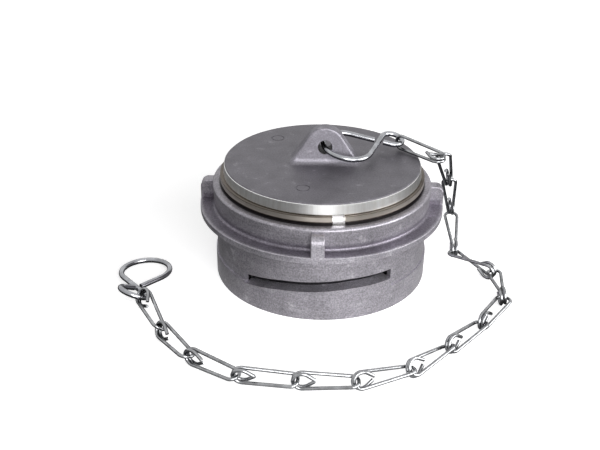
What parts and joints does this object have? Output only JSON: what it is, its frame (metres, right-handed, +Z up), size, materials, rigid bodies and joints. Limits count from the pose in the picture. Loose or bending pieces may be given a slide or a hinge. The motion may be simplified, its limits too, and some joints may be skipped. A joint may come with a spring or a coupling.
{
  "type": "hose coupling cap",
  "caption": "Round cast blanking cap for a symmetrical claw hose coupling, with a turning lock ring and a wire chain between two closed hooks.",
  "frame": {"origin": "centre of the lock ring's open mouth, at the height of the ring's lower face", "axes": "+Z up along the lock ring's turning axis, out of the closed top; -Y is the side that the ear's face and the free run of chain show"},
  "size_m": [0.2396, 0.2103, 0.0944],
  "materials": {
    "cast_aluminium": "as cast, rough",
    "forged_aluminium": "blasted, satin",
    "snap_ring_brass": "drawn wire, dull",
    "seal_rubber": "matt",
    "zinc_chain": "bright zinc plated",
    "zinc_hook": "bright zinc plated"
  },
  "bodies": {
    "cap": {"cap_body": "cast_aluminium", "snap_ring": "snap_ring_brass", "seal": "seal_rubber"},
    "lock_ring": {"lock_ring": "forged_aluminium"},
    "ear_hook": {"ear_hook": "zinc_hook"},
    "chain_link_01": {"chain_link_01": "zinc_chain"},
    "chain_link_02": {"chain_link_02": "zinc_chain"},
    "chain_link_03": {"chain_link_03": "zinc_chain"},
    "chain_link_04": {"chain_link_04": "zinc_chain"},
    "chain_link_05": {"chain_link_05": "zinc_chain"},
    "chain_link_06": {"chain_link_06": "zinc_chain"},
    "chain_link_07": {"chain_link_07": "zinc_chain"},
    "chain_link_08": {"chain_link_08": "zinc_chain"},
    "chain_link_09": {"chain_link_09": "zinc_chain"},
    "chain_link_10": {"chain_link_10": "zinc_chain"},
    "chain_link_11": {"chain_link_11": "zinc_chain"},
    "chain_link_12": {"chain_link_12": "zinc_chain"},
    "chain_link_13": {"chain_link_13": "zinc_chain"},
    "chain_link_14": {"chain_link_14": "zinc_chain"},
    "chain_link_15": {"chain_link_15": "zinc_chain"},
    "end_hook": {"end_hook": "zinc_hook"}
  },
  "joints": [
    {"name": "lock_ring_turn", "type": "hinge", "parent": "cap", "child": "lock_ring", "pos_m": [0, 0, 0.03], "axis": [0, 0, 1], "continuous": true},
    {"name": "ear_hook_swing", "type": "hinge", "parent": "cap", "child": "ear_hook", "pos_m": [0.0013, 0, 0.0826], "axis": [0, 0, 1], "range_deg": [-5, 5]},
    {"name": "chain_link_01_swing", "type": "hinge", "parent": "ear_hook", "child": "chain_link_01", "pos_m": [0.04933, 0.01919, 0.07771], "axis": [0, 0, 1], "range_deg": [0, 10]},
    {"name": "chain_link_02_swing", "type": "hinge", "parent": "chain_link_01", "child": "chain_link_02", "pos_m": [0.07323, -0.00093, 0.07471], "axis": [0, 0, -1], "range_deg": [0, 8]},
    {"name": "chain_link_03_swing", "type": "hinge", "parent": "chain_link_02", "child": "chain_link_03", "pos_m": [0.08116, 0.01817, 0.05119], "axis": [0, 0, 1], "range_deg": [-4, 8]},
    {"name": "chain_link_04_swing", "type": "hinge", "parent": "chain_link_03", "child": "chain_link_04", "pos_m": [0.08651, 0.03191, 0.0234], "axis": [0, 0, -1], "range_deg": [-8, 8]},
    {"name": "chain_link_05_swing", "type": "hinge", "parent": "chain_link_04", "child": "chain_link_05", "pos_m": [0.08651, 0.00244, 0.0065], "axis": [0, 0, 1], "range_deg": [-12, 12]},
    {"name": "chain_link_06_swing", "type": "hinge", "parent": "chain_link_05", "child": "chain_link_06", "pos_m": [0.10873, -0.01902, 0.00579], "axis": [0, 0, -1], "range_deg": [-12, 12]},
    {"name": "chain_link_07_swing", "type": "hinge", "parent": "chain_link_06", "child": "chain_link_07", "pos_m": [0.10926, -0.04977, 0.00584], "axis": [0, 0, 1], "range_deg": [-12, 12]},
    {"name": "chain_link_08_swing", "type": "hinge", "parent": "chain_link_07", "child": "chain_link_08", "pos_m": [0.09197, -0.07538, 0.0058], "axis": [0, 0, -1], "range_deg": [-12, 12]},
    {"name": "chain_link_09_swing", "type": "hinge", "parent": "chain_link_08", "child": "chain_link_09", "pos_m": [0.07059, -0.09829, 0.0059], "axis": [0, 0, 1], "range_deg": [-12, 12]},
    {"name": "chain_link_10_swing", "type": "hinge", "parent": "chain_link_09", "child": "chain_link_10", "pos_m": [0.04759, -0.11972, 0.00583], "axis": [0, 0, -1], "range_deg": [-12, 12]},
    {"name": "chain_link_11_swing", "type": "hinge", "parent": "chain_link_10", "child": "chain_link_11", "pos_m": [0.01827, -0.13023, 0.00587], "axis": [0, 0, 1], "range_deg": [-12, 12]},
    {"name": "chain_link_12_swing", "type": "hinge", "parent": "chain_link_11", "child": "chain_link_12", "pos_m": [-0.01285, -0.12969, 0.00583], "axis": [0, 0, -1], "range_deg": [-12, 12]},
    {"name": "chain_link_13_swing", "type": "hinge", "parent": "chain_link_12", "child": "chain_link_13", "pos_m": [-0.044, -0.12587, 0.00592], "axis": [0, 0, 1], "range_deg": [-12, 12]},
    {"name": "chain_link_14_swing", "type": "hinge", "parent": "chain_link_13", "child": "chain_link_14", "pos_m": [-0.07034, -0.10942, 0.00589], "axis": [0, 0, -1], "range_deg": [-12, 12]},
    {"name": "chain_link_15_swing", "type": "hinge", "parent": "chain_link_14", "child": "chain_link_15", "pos_m": [-0.08951, -0.08488, 0.00593], "axis": [0, 0, 1], "range_deg": [-12, 12]},
    {"name": "end_hook_swing", "type": "hinge", "parent": "chain_link_15", "child": "end_hook", "pos_m": [-0.1042, -0.0574, 0.01057], "axis": [0, 0, -1], "range_deg": [-8, 4]}
  ]
}
